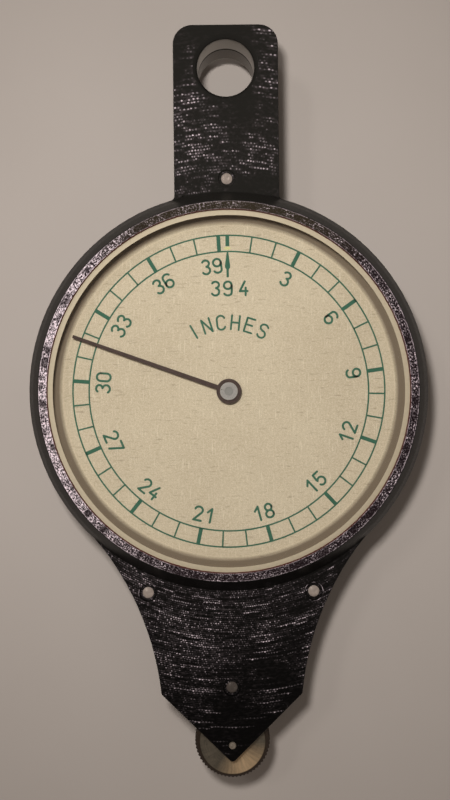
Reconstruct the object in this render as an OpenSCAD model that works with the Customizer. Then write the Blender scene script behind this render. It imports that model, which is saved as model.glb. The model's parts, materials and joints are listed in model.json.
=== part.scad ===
// Pocket curvimeter: a two-sided map measuring wheel.
// The case lies on its rear ring, the front dial looks up (+Z) and the hang tab points to +Y.

/* [Head] */
// Diameter of the round head at the plate faces
head_d = 50; // [47:0.5:56]
// Thickness of the case plates together, at the tab and the tail
plate_t = 6.6; // [6.2:0.1:8]
// Height of each dial ring above its plate face
ring_rise = 3; // [2.6:0.1:4]
// Width of the flat land on top of each ring
ring_land = 1.1; // [0.7:0.1:1.6]
// Width of the sloping flank outside the land
ring_flank = 1.8; // [1.2:0.1:2.4]
// Thickness of the cheek left outside the gear space in the tail
cheek_t = 1.2; // [1:0.1:1.5]
// Thickness of the web under each dial
web_t = 0.8; // [0.6:0.1:1]

/* [Tab] */
// Width of the hang tab
tab_w = 13.2; // [11:0.2:16]
// Reach of the tab beyond the head
tab_len = 21; // [17:0.5:26]
// Radius of the tab's outer corners
tab_corner_r = 2.4; // [1:0.2:4]
// Radius of the small fillets between tab and head
tab_fillet_r = 0.6; // [0.3:0.1:1]
// Radius of the hang hole
hang_r = 3.6; // [2.5:0.1:4]
// Distance from the tab's end to the centre of the hang hole
hang_inset = 5.25; // [5:0.25:7]
// Chamfer at both mouths of the hang hole
hang_chamfer = 0.5; // [0.2:0.1:0.8]

/* [Tail] */
// Width of the tail where it leaves the head
tail_root_w = 33.6; // [30:0.4:38]
// Width of the tail at the corners where the point begins
tail_corner_w = 17.7; // [16:0.1:20]
// Radius of the hollow sides of the tail
tail_side_r = 37; // [30:1:60]
// Distance from the wheel axle back to the tail's corners
tail_corner_back = 6.5; // [6:0.1:8]
// Distance from the wheel axle on to the tail's point
tail_tip_on = 2.2; // [1.9:0.05:2.6]
// Radius of the rounded point
tail_tip_r = 0.5; // [0.2:0.1:0.8]

/* [Dials and crystals] */
// Thickness of each dial plate
dial_t = 0.4; // [0.3:0.05:0.6]
// Radius of the hole in the dial round the centre arbor
dial_hole_r = 1.1; // [0.95:0.05:1.5]
// Distance of the dial feet from the centre
dial_foot_place = 12; // [8:0.5:15]
// Radius of a dial foot
dial_foot_r = 0.4; // [0.3:0.05:0.5]
// Length of a dial foot under the dial
dial_foot_len = 0.6; // [0.3:0.1:0.6]
// Space left under each dial foot
foot_space = 0.05; // [0.02:0.01:0.1]
// Thickness of the flat top of each crystal
crystal_t = 1; // [0.6:0.1:1.2]
// Wall of the crystal's skirt
crystal_wall = 0.8; // [0.5:0.1:1.2]
// Depth of the crystal below the land of its ring
crystal_sink = 0.1; // [0.05:0.05:0.3]

/* [Hands] */
// Gap between a hand's tip and the skirt of its crystal
hand_gap = 0.75; // [0.4:0.05:4]
// Width of a hand at its root
hand_root_w = 0.56; // [0.4:0.02:0.8]
// Width of a hand at its tip
hand_tip_w = 0.4; // [0.2:0.02:0.6]
// Thickness of a hand
hand_t = 0.2; // [0.1:0.05:0.3]
// Height of a hand above its dial
hand_rise = 0.7; // [0.5:0.05:0.8]
// Radius of the round eye of a hand
hand_eye_r = 1.55; // [1.2:0.05:2]
// Direction of the hands, counter-clockwise from +X
hand_angle = 160.1; // [0:0.1:359]
// Radius of the turned hub that carries a hand
hub_r = 1.1; // [0.9:0.05:1.2]
// Radius of the hub's seat in the hand
hub_seat_r = 0.8; // [0.7:0.05:0.85]
// Thickness of the hub's collar above the hand
hub_head_t = 0.4; // [0.2:0.05:0.4]
// Reach of the hub below the hand
hub_drop = 0.35; // [0.2:0.05:0.4]

/* [Gear train] */
// Module of the idler's mesh
module_big = 0.33; // [0.29:0.01:0.345]
// Module of the mesh at the tracing wheel
module_small = 0.28; // [0.25:0.005:0.29]
// Teeth of the centre wheel
centre_teeth = 120; // [112:1:122]
// Teeth of the idler wheel
idler_teeth = 47; // [43:1:48]
// Teeth of the second pinion
second_pinion_teeth = 12; // [12:1:13]
// Teeth of the second wheel
second_teeth = 40; // [38:1:42]
// Teeth of the pinion cut on the tracing arbor
tracing_pinion_teeth = 12; // [12:1:13]
// Angle by which the idler stands beside the middle line
idler_side_angle = 2.4; // [0.5:0.1:5]
// Thickness of the idler wheel and the centre wheel
wheel_t = 0.6; // [0.4:0.05:0.7]
// Thickness of the second wheel
second_wheel_t = 0.55; // [0.4:0.05:0.6]
// Space between a moving face and the next fixed one
end_shake = 0.1; // [0.05:0.01:0.12]
// Space kept between wheels that turn one over another
layer_gap = 0.25; // [0.15:0.05:0.25]
// Space between the second wheel and the rear cheek
second_lift = 0.15; // [0.1:0.05:0.2]
// Length of each pinion past the wheel that it drives
pinion_over = 0.1; // [0.05:0.05:0.15]
// Space round the tips of the teeth and round the tracing wheel
tip_space = 0.35; // [0.25:0.05:0.45]
// Radius of the round windows in the centre wheel
window_r = 3.5; // [2:0.25:4]
// Number of windows in the centre wheel
window_count = 8; // [5:1:8]
// Distance of the windows from the centre
window_place = 11.5; // [10.5:0.25:12.5]

/* [Tracing wheel] */
// Circumference of the tracing wheel over its knurl
tracing_round = 30; // [28:0.25:31]
// Thickness of the tracing wheel
tracing_t = 1.95; // [1.5:0.05:1.95]
// Number of knurl teeth
knurl_count = 60; // [40:2:72]
// Depth of the knurl
knurl_depth = 0.16; // [0.1:0.02:0.22]
// Half the width of a knurl tooth at its foot, as a share of the pitch
knurl_foot = 0.32; // [0.28:0.02:0.36]
// Half the width of a knurl tooth at its top, as a share of the pitch
knurl_top = 0.14; // [0.1:0.02:0.18]
// Radius taken off at each edge of the wheel by its bevel
bevel_in = 0.5; // [0.3:0.05:0.8]
// Height of the bevel along the axle
bevel_up = 0.42; // [0.2:0.02:0.6]

/* [Arbors, studs and rivets] */
// Radius of the centre arbor where the wheel sits
arbor_r = 0.9; // [0.8:0.05:1]
// Radius of the centre arbor in its bushes
arbor_journal_r = 0.7; // [0.6:0.05:0.75]
// Radius of the centre arbor under the hand hubs
arbor_end_r = 0.5; // [0.4:0.05:0.55]
// Radius of each bush in its web
bush_r = 1.6; // [1.4:0.1:2]
// Radius of the flange of each bush
bush_flange_r = 2.4; // [2.2:0.1:3]
// Thickness of the flange of each bush
bush_flange_t = 0.3; // [0.2:0.05:0.4]
// Radius of the collet of the centre wheel
collet_r = 1.9; // [1.5:0.1:2.5]
// Radius of the shoulder of the collet
collet_flange_r = 3.2; // [3:0.1:4]
// Thickness of the shoulder of the collet
collet_flange_t = 0.5; // [0.3:0.1:0.6]
// Radius of the idler stud
idler_stud_r = 0.6; // [0.5:0.05:0.7]
// Depth of the blind holes that hold the idler stud
blind_depth = 0.7; // [0.4:0.05:0.8]
// Radius of the idler hub
idler_hub_r = 1.2; // [1.1:0.05:1.4]
// Radius of the shoulder of the idler hub
idler_flange_r = 1.9; // [1.6:0.1:2.2]
// Thickness of the shoulder of the idler hub
idler_flange_t = 0.4; // [0.3:0.1:0.5]
// Radius of the second stud
second_stud_r = 0.5; // [0.4:0.05:0.55]
// Radius of the sleeve of the second pinion
second_sleeve_r = 0.95; // [0.85:0.05:1.1]
// Radius of the second pinion's seat in the second wheel
second_seat_r = 1.3; // [1.15:0.05:1.4]
// Radius of the tracing arbor's pivots
pivot_r = 0.465; // [0.4:0.005:0.55]
// Depth of the pivots' ends below the plate faces
pivot_sink = 0.05; // [0.05:0.05:0.15]
// Radius of the tracing arbor in its wheel
tracing_seat_r = 0.9; // [0.7:0.05:1]
// Radius of the shoulder between pinion and wheel
tracing_shoulder_r = 1.2; // [1.1:0.05:1.3]
// Radius of the heads of the side rivets
rivet_head_r = 0.7; // [0.65:0.01:0.8]
// Chamfer round a rivet head
head_chamfer = 0.1; // [0.05:0.05:0.15]
// Radius of the shanks of the rivets
rivet_r = 0.5; // [0.4:0.05:0.55]
// Radius of the counterbore round a rivet head
counterbore_r = 1.05; // [0.9:0.05:1.1]
// Depth of the counterbore
counterbore_depth = 0.3; // [0.2:0.05:0.4]
// Distance between the two side rivets
side_rivet_span = 20.8; // [19:0.2:22]
// Distance of the side rivets below the head's lowest point
side_rivet_drop = 0.2; // [-0.5:0.1:1]
// Distance of the top rivet above the head's highest point
top_rivet_up = 1.7; // [1.4:0.1:4]
// Radius of the dimple in each head of the top rivet
dimple_r = 0.4; // [0.2:0.05:0.5]
// Depth of that dimple
dimple_depth = 0.25; // [0.1:0.05:0.3]

/* [Fits] */
// Radial clearance of a running fit
run_fit = 0.04; // [0.02:0.01:0.06]
// Radial clearance of a fixed fit
fixed_fit = 0.01; // [0.005:0.005:0.02]
// Thickness taken off each gear tooth for backlash
backlash = 0.045; // [0.03:0.005:0.07]

/* [Hidden] */
$fn = 96;
eps = 0.01;

// Height levels, measured from the parting plane between the case halves
head_r = head_d / 2;
plate_z = plate_t / 2;
ring_z = plate_z + ring_rise;
cavity_z = plate_z - cheek_t;
dial_z = cavity_z + web_t;
dial_top = dial_z + dial_t;
crystal_top = ring_z - crystal_sink;
crystal_under = crystal_top - crystal_t;
hand_z = dial_top + hand_rise;
hub_top = hand_z + hand_t + hub_head_t;
hub_bottom = hand_z - hub_drop;
second_z = -cavity_z + second_lift;
big_z = second_z + second_wheel_t + layer_gap;
tracing_z = cavity_z - end_shake - tracing_t;
tracing_shoulder_z = second_z + second_wheel_t + pinion_over;
bush_inner_z = cavity_z - bush_flange_t;
collet_z = bush_inner_z - end_shake;

// The bore inside each ring holds the dial and the crystal
bore_r = head_r - ring_flank - ring_land;
dial_r = bore_r - fixed_fit - run_fit;
crystal_r = dial_r;
hand_len = crystal_r - crystal_wall - hand_gap;

// Gear geometry: short teeth on the wheels keep the small pinions free of interference
pressure_angle = 20;
addendum = 0.75;
dedendum = 1;
function pitch_r(teeth, mod) = teeth * mod / 2;
function tip_r(teeth, mod) = pitch_r(teeth, mod) + addendum * mod;
function root_r(teeth, mod) = pitch_r(teeth, mod) - dedendum * mod;

centre_dist = pitch_r(centre_teeth + idler_teeth, module_big);
second_dist = pitch_r(idler_teeth + second_pinion_teeth, module_big);
tracing_dist = pitch_r(second_teeth + tracing_pinion_teeth, module_small);
idler_x = centre_dist * sin(idler_side_angle);
idler_y = -centre_dist * cos(idler_side_angle);
second_y = idler_y - sqrt(second_dist * second_dist - idler_x * idler_x);
axle_y = second_y - tracing_dist;
tracing_r = tracing_round / (2 * PI);
centre_tip_r = tip_r(centre_teeth, module_big);
idler_tip_r = tip_r(idler_teeth, module_big);
second_tip_r = tip_r(second_teeth, module_small);

// Tooth phases that put each pair in mesh at rest
function next_phase(phase, teeth, next_teeth, line) =
    line + 180 + (0.5 + (line - phase) * teeth / 360) * 360 / next_teeth;
centre_phase = 0;
line_to_idler = atan2(idler_y, idler_x);
idler_phase = next_phase(centre_phase, centre_teeth, idler_teeth, line_to_idler);
line_to_second = atan2(second_y - idler_y, -idler_x);
second_pinion_phase = next_phase(idler_phase, idler_teeth, second_pinion_teeth, line_to_second);
second_phase = 90;
tracing_phase = next_phase(second_phase, second_teeth, tracing_pinion_teeth, -90);

// Tail outline: corners, point and the circles that hollow its sides
root_point = [tail_root_w / 2, -sqrt(head_r * head_r - tail_root_w * tail_root_w / 4)];
corner_point = [tail_corner_w / 2, axle_y + tail_corner_back];
tip_point = [0, axle_y - tail_tip_on];
side_chord = root_point - corner_point;
side_mid = (root_point + corner_point) / 2;
side_out = [side_chord[1], -side_chord[0]] / norm(side_chord);
side_depth = sqrt(tail_side_r * tail_side_r - norm(side_chord) * norm(side_chord) / 4);
side_centre = side_mid + side_out * side_depth;
tip_edge = (corner_point - tip_point) / norm(corner_point - tip_point);
tip_half_angle = atan2(tip_edge[0], tip_edge[1]);
tip_touch = tip_point + tip_edge * tail_tip_r / tan(tip_half_angle);
tip_round = tip_point + [0, tail_tip_r / sin(tip_half_angle)];

// Places on the case
tab_top = head_r + tab_len;
hang_y = tab_top - hang_inset;
top_rivet_y = head_r + top_rivet_up;
side_rivet_y = -head_r - side_rivet_drop;
fillet_r_sum = head_r + tab_fillet_r;
fillet_x = tab_w / 2 + tab_fillet_r;
fillet_y = sqrt(fillet_r_sum * fillet_r_sum - fillet_x * fillet_x);
fillet_w = fillet_x * head_r / fillet_r_sum - tab_w / 2;

// The part stands on the middle of its box's base
shift = [0, -(tab_top + axle_y - tracing_r) / 2, ring_z];

module place() {
    translate(shift) children();
}

// Turns the front half's shape over to make the rear half's
module rear() {
    mirror([0, 0, 1]) children();
}

module rod(r, low, high) {
    translate([0, 0, low]) cylinder(r = r, h = high - low);
}

module tube(r, bore, low, high) {
    difference() {
        rod(r, low, high);
        rod(bore, low - eps, high + eps);
    }
}

// A gear with involute flanks, centred on the origin
module gear(teeth, mod, phase, low, high) {
    pitch = pitch_r(teeth, mod);
    base = pitch * cos(pressure_angle);
    root = root_r(teeth, mod);
    tip = tip_r(teeth, mod);
    radii = base > root ? [root, base, pitch, tip] : [root, pitch, tip];
    half_at_pitch = (PI * mod / 2 - backlash) / (2 * pitch) * 180 / PI;
    function roll(r) = r <= base ? 0 : let (a = acos(base / r)) tan(a) * 180 / PI - a;
    function half_at(r) = half_at_pitch + roll(pitch) - roll(r);
    up = [for (r = radii) [r, -half_at(r)]];
    down = [for (i = [len(radii) - 1:-1:0]) [radii[i], half_at(radii[i])]];
    points = [for (k = [0:teeth - 1])
        for (p = concat(up, down))
            let (a = phase + k * 360 / teeth + p[1]) p[0] * [cos(a), sin(a)]];
    translate([0, 0, low]) linear_extrude(high - low) polygon(points);
}

// Square tab with rounded corners and a small fillet at each side of its foot
module tab_outline() {
    difference() {
        union() {
            translate([-tab_w / 2, 0]) square([tab_w, tab_top - tab_corner_r]);
            translate([-tab_w / 2 + tab_corner_r, 0]) square([tab_w - 2 * tab_corner_r, tab_top]);
            for (side = [-1, 1]) {
                translate([side * (tab_w / 2 - tab_corner_r), tab_top - tab_corner_r]) circle(tab_corner_r);
                translate([side * tab_w / 2 - (side < 0 ? fillet_w : 0), 0]) square([fillet_w, fillet_y]);
            }
        }
        for (side = [-1, 1])
            translate([side * fillet_x, fillet_y]) circle(tab_fillet_r);
    }
}

// Tail with hollow sides, two corners and a blunt point
module tail_outline() {
    difference() {
        polygon([[-root_point[0], root_point[1]], [-root_point[0], 0], [root_point[0], 0], root_point,
            corner_point, tip_touch, [-tip_touch[0], tip_touch[1]], [-corner_point[0], corner_point[1]]]);
        for (side = [-1, 1])
            translate([side * side_centre[0], side_centre[1]]) circle(tail_side_r, $fn = 360);
    }
    translate(tip_round) circle(tail_tip_r);
}

// The round head and its raised ring, before the hollows are cut
module head_blank() {
    rotate_extrude($fn = 240)
        polygon([[0, 0], [head_r, 0], [head_r, plate_z], [bore_r + ring_land, ring_z], [0, ring_z]]);
}

// The space that the wheels turn in, open at the point for the tracing wheel
module gear_space() {
    rod(centre_tip_r + tip_space, -eps, cavity_z, $fn = 240);
    translate([idler_x, idler_y]) rod(idler_tip_r + tip_space, -eps, cavity_z);
    translate([0, second_y]) rod(second_tip_r + tip_space, -eps, cavity_z);
    translate([0, axle_y]) rod(tracing_r + tip_space, -eps, cavity_z);
}

// Hole through the plate with a counterbore at the outer face
module riveted_hole(x, y, r) {
    translate([x, y]) {
        rod(r + fixed_fit, -eps, plate_z + eps, $fn = 32);
        rod(counterbore_r, plate_z - counterbore_depth, plate_z + eps, $fn = 48);
    }
}

// One case half, above the parting plane
module case_half() {
    difference() {
        union() {
            head_blank();
            linear_extrude(plate_z) tab_outline();
            linear_extrude(plate_z) tail_outline();
        }
        gear_space();
        rod(bore_r, dial_z, ring_z + eps, $fn = 240);
        rod(bush_r + fixed_fit, cavity_z - eps, dial_z + eps, $fn = 48);
        for (side = [-1, 1])
            translate([side * dial_foot_place, 0])
                rod(dial_foot_r + fixed_fit, dial_z - dial_foot_len - foot_space, dial_z + eps, $fn = 32);
        translate([0, hang_y]) {
            rod(hang_r, -eps, plate_z + eps);
            translate([0, 0, plate_z - hang_chamfer])
                cylinder(r1 = hang_r, r2 = hang_r + hang_chamfer + eps, h = hang_chamfer + eps);
        }
        riveted_hole(0, top_rivet_y, rivet_r);
        riveted_hole(side_rivet_span / 2, side_rivet_y, rivet_r);
        riveted_hole(-side_rivet_span / 2, side_rivet_y, rivet_r);
        riveted_hole(0, second_y, second_stud_r);
        translate([0, axle_y]) rod(pivot_r + run_fit, 0, plate_z + eps, $fn = 48);
        translate([idler_x, idler_y])
            rod(idler_stud_r + fixed_fit, 0, cavity_z + blind_depth, $fn = 48);
    }
}

module dial() {
    color("#d9d0ac") {
        tube(dial_r, dial_hole_r, dial_z, dial_top, $fn = 240);
        for (side = [-1, 1])
            translate([side * dial_foot_place, 0]) rod(dial_foot_r, dial_z - dial_foot_len, dial_z + eps, $fn = 32);
    }
}

// Clear cup: a flat top on a skirt that stands on the edge of the dial
module crystal() {
    color("#e8ecec", 0.35) difference() {
        rod(crystal_r, dial_top, crystal_top, $fn = 240);
        rod(crystal_r - crystal_wall, dial_top - eps, crystal_under, $fn = 240);
    }
}

module bush() {
    color("#b9a05c") difference() {
        union() {
            rod(bush_r, cavity_z - eps, dial_z, $fn = 48);
            rod(bush_flange_r, bush_inner_z, cavity_z, $fn = 64);
        }
        rod(arbor_journal_r + run_fit, bush_inner_z - eps, dial_z + eps, $fn = 48);
    }
}

module hand() {
    color("#3a2c28") translate([0, 0, hand_z]) linear_extrude(hand_t) difference() {
        union() {
            circle(hand_eye_r, $fn = 64);
            rotate(hand_angle)
                polygon([[0, -hand_root_w / 2], [hand_len, -hand_tip_w / 2], [hand_len, hand_tip_w / 2],
                    [0, hand_root_w / 2]]);
        }
        circle(hub_seat_r + fixed_fit, $fn = 48);
    }
}

// Hub that grips the arbor's end; the hand is riveted between its two collars
module hand_hub() {
    color("#b4b2ae") difference() {
        union() {
            rod(hub_r, hub_bottom, hand_z, $fn = 64);
            rod(hub_seat_r, hand_z - eps, hand_z + hand_t + eps, $fn = 48);
            rod(hub_r, hand_z + hand_t, hub_top, $fn = 64);
        }
        rod(arbor_end_r + fixed_fit, hub_bottom - eps, hub_top + eps, $fn = 48);
    }
}

// Fixed pin through both case halves with a low head in each counterbore
module pin(r, head) {
    rod(r, -plate_z + counterbore_depth, plate_z - counterbore_depth, $fn = 32);
    for (flip = [0, 1])
        mirror([0, 0, flip]) {
            rod(head, plate_z - counterbore_depth, plate_z - head_chamfer, $fn = 48);
            translate([0, 0, plate_z - head_chamfer])
                cylinder(r1 = head, r2 = head - head_chamfer, h = head_chamfer, $fn = 48);
        }
}

module front_case() { color("#1d1b1d") place() case_half(); }

module rear_case() { color("#1d1b1d") place() rear() case_half(); }

module front_dial() { place() dial(); }

module rear_dial() { place() rear() dial(); }

module front_crystal() { place() crystal(); }

module rear_crystal() { place() rear() crystal(); }

module front_bush() { place() bush(); }

module rear_bush() { place() rear() bush(); }

module front_hand() { place() hand(); }

module rear_hand() { place() rear() hand(); }

module front_hand_hub() { place() hand_hub(); }

module rear_hand_hub() { place() rear() hand_hub(); }

module idler_stud() {
    color("#a8a8a8") place() translate([idler_x, idler_y])
        rod(idler_stud_r, -cavity_z - blind_depth, cavity_z + blind_depth, $fn = 48);
}

module second_stud() {
    color("#b8b6b2") place() translate([0, second_y]) pin(second_stud_r, rivet_head_r);
}

module top_rivet() {
    color("#b8b6b2") place() translate([0, top_rivet_y]) difference() {
        pin(rivet_r, rivet_head_r);
        for (flip = [0, 1])
            mirror([0, 0, flip]) translate([0, 0, plate_z - dimple_depth])
                cylinder(r1 = dimple_r / 2, r2 = dimple_r, h = dimple_depth + eps, $fn = 32);
    }
}

module side_rivets() {
    color("#b8b6b2") place()
        for (side = [-1, 1])
            translate([side * side_rivet_span / 2, side_rivet_y]) pin(rivet_r, rivet_head_r);
}

module centre_arbor() {
    color("#a8a8a8") place() {
        rod(arbor_end_r, -hub_top, hub_top, $fn = 48);
        rod(arbor_journal_r, -dial_top, dial_top, $fn = 48);
        rod(arbor_r, -collet_z, collet_z, $fn = 48);
    }
}

module centre_collet() {
    color("#b9a05c") place() difference() {
        union() {
            rod(collet_r, -collet_z, collet_z, $fn = 64);
            rod(collet_flange_r, big_z + wheel_t, big_z + wheel_t + collet_flange_t, $fn = 64);
        }
        rod(arbor_r + fixed_fit, -collet_z - eps, collet_z + eps, $fn = 48);
    }
}

module centre_wheel() {
    color("#c2a555") place() difference() {
        gear(centre_teeth, module_big, centre_phase, big_z, big_z + wheel_t);
        rod(collet_r + fixed_fit, big_z - eps, big_z + wheel_t + eps, $fn = 64);
        for (k = [0:window_count - 1])
            rotate(k * 360 / window_count) translate([window_place, 0])
                rod(window_r, big_z - eps, big_z + wheel_t + eps, $fn = 64);
    }
}

module idler_wheel() {
    color("#c2a555") place() translate([idler_x, idler_y]) difference() {
        gear(idler_teeth, module_big, idler_phase, big_z, big_z + wheel_t);
        rod(idler_hub_r + fixed_fit, big_z - eps, big_z + wheel_t + eps, $fn = 48);
    }
}

module idler_hub() {
    color("#b9a05c") place() translate([idler_x, idler_y]) difference() {
        union() {
            rod(idler_hub_r, -cavity_z + end_shake, cavity_z - end_shake, $fn = 48);
            rod(idler_flange_r, big_z + wheel_t, big_z + wheel_t + idler_flange_t, $fn = 64);
        }
        rod(idler_stud_r + run_fit, -cavity_z, cavity_z, $fn = 48);
    }
}

module second_wheel() {
    color("#c2a555") place() translate([0, second_y]) difference() {
        gear(second_teeth, module_small, second_phase, second_z, second_z + second_wheel_t);
        rod(second_seat_r + fixed_fit, second_z - eps, second_z + second_wheel_t + eps, $fn = 48);
    }
}

module second_pinion() {
    color("#a8a8a8") place() translate([0, second_y]) difference() {
        union() {
            gear(second_pinion_teeth, module_big, second_pinion_phase, second_z + second_wheel_t,
                big_z + wheel_t + pinion_over);
            rod(second_seat_r, second_z, second_z + second_wheel_t + eps, $fn = 48);
            rod(second_sleeve_r, -cavity_z + end_shake, cavity_z - end_shake, $fn = 48);
        }
        rod(second_stud_r + run_fit, -cavity_z, cavity_z, $fn = 48);
    }
}

// Knurled brass wheel with bevelled edges
module tracing_wheel() {
    pitch = 360 / knurl_count;
    points = [for (k = [0:knurl_count - 1])
        for (p = [[-knurl_foot, tracing_r - knurl_depth], [-knurl_top, tracing_r], [knurl_top, tracing_r],
            [knurl_foot, tracing_r - knurl_depth]])
            p[1] * [cos((k + p[0]) * pitch), sin((k + p[0]) * pitch)]];
    color("#b3975a") place() translate([0, axle_y]) difference() {
        intersection() {
            translate([0, 0, tracing_z]) linear_extrude(tracing_t) polygon(points);
            translate([0, 0, tracing_z]) rotate_extrude()
                polygon([[0, 0], [tracing_r - bevel_in, 0], [tracing_r + eps, bevel_up],
                    [tracing_r + eps, tracing_t - bevel_up], [tracing_r - bevel_in, tracing_t], [0, tracing_t]]);
        }
        rod(tracing_seat_r + fixed_fit, tracing_z - eps, tracing_z + tracing_t + eps, $fn = 48);
    }
}

module tracing_arbor() {
    color("#b8b6b2") place() translate([0, axle_y]) {
        rod(pivot_r, -plate_z + pivot_sink, plate_z - pivot_sink, $fn = 48);
        gear(tracing_pinion_teeth, module_small, tracing_phase, second_z, tracing_shoulder_z);
        rod(tracing_shoulder_r, tracing_shoulder_z, tracing_z, $fn = 48);
        rod(tracing_seat_r, tracing_z - eps, cavity_z - end_shake, $fn = 48);
    }
}

front_case();
rear_case();
front_dial();
rear_dial();
front_crystal();
rear_crystal();
front_bush();
rear_bush();
idler_stud();
second_stud();
top_rivet();
side_rivets();
centre_arbor();
centre_collet();
centre_wheel();
front_hand();
rear_hand();
front_hand_hub();
rear_hand_hub();
idler_wheel();
idler_hub();
second_wheel();
second_pinion();
tracing_wheel();
tracing_arbor();
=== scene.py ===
import json
import math

import bmesh
import bpy
from mathutils import Matrix, Vector


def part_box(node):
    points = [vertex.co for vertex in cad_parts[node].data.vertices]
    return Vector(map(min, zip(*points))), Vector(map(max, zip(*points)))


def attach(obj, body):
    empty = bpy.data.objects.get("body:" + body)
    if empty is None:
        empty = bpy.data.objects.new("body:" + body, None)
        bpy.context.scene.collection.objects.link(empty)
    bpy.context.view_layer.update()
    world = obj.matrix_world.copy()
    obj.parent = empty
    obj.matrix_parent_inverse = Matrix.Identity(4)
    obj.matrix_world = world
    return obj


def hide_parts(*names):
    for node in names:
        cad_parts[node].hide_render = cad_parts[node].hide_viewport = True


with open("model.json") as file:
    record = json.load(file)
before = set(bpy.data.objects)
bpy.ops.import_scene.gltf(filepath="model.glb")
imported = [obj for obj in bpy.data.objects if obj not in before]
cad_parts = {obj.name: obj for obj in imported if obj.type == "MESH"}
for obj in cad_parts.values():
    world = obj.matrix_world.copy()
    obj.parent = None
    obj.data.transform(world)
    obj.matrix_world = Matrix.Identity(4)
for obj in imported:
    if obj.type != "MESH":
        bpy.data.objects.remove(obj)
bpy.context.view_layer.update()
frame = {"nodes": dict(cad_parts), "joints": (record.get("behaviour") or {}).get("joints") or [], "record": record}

MM = 0.001

# Places taken from the frame, in metres, and the radius of the hang hole in millimetres
JOINT_AT = {joint["name"]: Vector(joint["pos_m"]) for joint in frame["joints"]}
CENTRE = JOINT_AT["hands_turn"]
AXLE = JOINT_AT["tracing_turn"]
MID_Z = CENTRE.z
DIAL_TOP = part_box("front_dial")[1].z - MID_Z
CRYSTAL_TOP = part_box("front_crystal")[1].z - MID_Z
RING_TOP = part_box("front_case")[1].z - MID_Z
TAB_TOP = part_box("second_stud")[1].z - MID_Z
HOLE = next(mount for mount in frame["record"]["mounts"] if mount["name"] == "hang_hole")
HANG_HOLE = Vector(HOLE["pos_m"])
HANG_R = HOLE["dims"]["r_mm"]


def side_rivet_places():
    """The two side rivets share one node, so their places come from the ends of its box."""
    low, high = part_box("side_rivets")
    head = (high.y - low.y) / 2
    return [Vector((x, low.y + head, MID_Z)) for x in (low.x + head, high.x - head)]


SIDE_RIVETS = side_rivet_places()

# The turned ridges of the case in millimetres: their pitch, and the beads and dashes of painted glint along them
TAIL_RIDGE = 0.255
TAB_RIDGE = 0.375
TAIL_BEAD = 0.37
TAB_BEAD = 0.46
TAIL_DASH = 5.5
TAB_DASH = 2.6
LONG_DASH = 7.0
SPECK = 0.6
ARC_R = 36.0
# How far a bead strays in its cell, and the shift that puts the beads in the middle of a numbered row
BEAD_SCATTER = 0.4
ROW_SHIFT = 0.5 - BEAD_SCATTER / 2
# Each row's beads are set off from the last row's by this share of their pitch
BEAD_STAGGER = 0.618
# How far apart neighbouring rows lie in the noise that lights their dashes, short and long
ROW_APART = 5.3
LONG_ROW_APART = 3.7

# Where wear, painted glints and painted sheen change on the case, from one place to another, in millimetres from
# the dial's centre
TAB_FOOT_Y = 30.6
FOOT_REACH = (1.2, 4.2)
FOOT_SIDE = (3.5, 6.0)
TAB_SIDE = (1.5, 5.0)
TAB_END_Y = (32.0, 36.0)
TAB_CORNER = (-49.0, -44.0)
TAIL_LEFT = (-6.0, 8.0)
TAIL_POINT_Y = (-44.0, -32.0)
LONG_DASH_Y = (-44.0, -34.0)
LAND_LEFT = (-23.0, -6.0)
LAND_TOP_Y = (15.0, 21.0)
LAND_LOW_Y = (-22.0, -10.0)
PAINTED_SHEEN_Y = (-40.0, 30.0)

# The land of the ring in millimetres: how far under its top it begins and is reached, its middle radius,
# its rubbed edges as distances from there, and the blasted grain in it, drawn out along the ring
LAND_FROM = 0.30
LAND_FULL = 0.15
LAND_MIDDLE = 22.65
LAND_EDGE = (0.39, 0.49)
GRAIN_PITCH = 0.17
GRAIN_STRETCH = 1.5
# The bright line round a side rivet's counterbore, worn metal with a painted glint, in millimetres
RIM_R = 1.11
RIM_HALF = (0.03, 0.10)
# The crystal's seat, how far past a wall a test for it reaches, and the hang hole's two tones, its rear half in
# painted shade, in millimetres
SEAT_R = 22.1
WALL_SPARE = 0.1
HOLE_REAR_TO_FRONT = (-0.3, 0.3)
PARTING_LINE = (0.10, 0.22)
# The dial's brown edge band in millimetres: where it begins, where it ends, and the painted highlight line inside
# it
EDGE_BROWN_IN = (20.80, 21.32)
EDGE_BROWN_OUT = (22.12, 22.24)
EDGE_BROWN_STREAK = 0.22
HIGHLIGHT_LINE_R = 20.70
HIGHLIGHT_LINE_HALF = 0.16
# Marks on the dial: how the noise is drawn out, where it shows, how strongly, and its tone
DIAL_MARKS = (
    ((5200.0, 520.0, 1.0), (0.70, 0.78), 0.35, (0.36, 0.29, 0.20)),
    ((620.0, 3400.0, 1.0), (0.61, 0.72), 0.50, (0.30, 0.235, 0.165)),
    ((5400.0, 480.0, 1.0), (0.60, 0.72), 0.50, (0.80, 0.71, 0.57)),
)
# Where the wheel's face passes into its knurled rim, in millimetres, and the angle of the painted highlight on its
# face
WHEEL_RIM = (4.08, 4.20)
WHEEL_HIGHLIGHT_ANGLE = math.radians(-62)

# The photograph's frame, and the place of the dial's centre in it, in pixels
PHOTO_W = 450
PHOTO_H = 800
FOCAL_PX = 762
DIAL_PX = 228.9
DIAL_PY = 391.2
# The camera: its sensor in millimetres, its height over the tab, and the turn of the picture
SENSOR = 36
CAMERA_HEIGHT = 95.5 * MM
ROLL = math.radians(0.6)


def link(obj):
    bpy.context.scene.collection.objects.link(obj)
    return obj


def smooth(obj, degrees=30):
    """Shades an object smooth, with edges over the angle kept sharp."""
    obj.data.shade_smooth()
    obj.data.set_sharp_from_angle(angle=math.radians(degrees))


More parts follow.
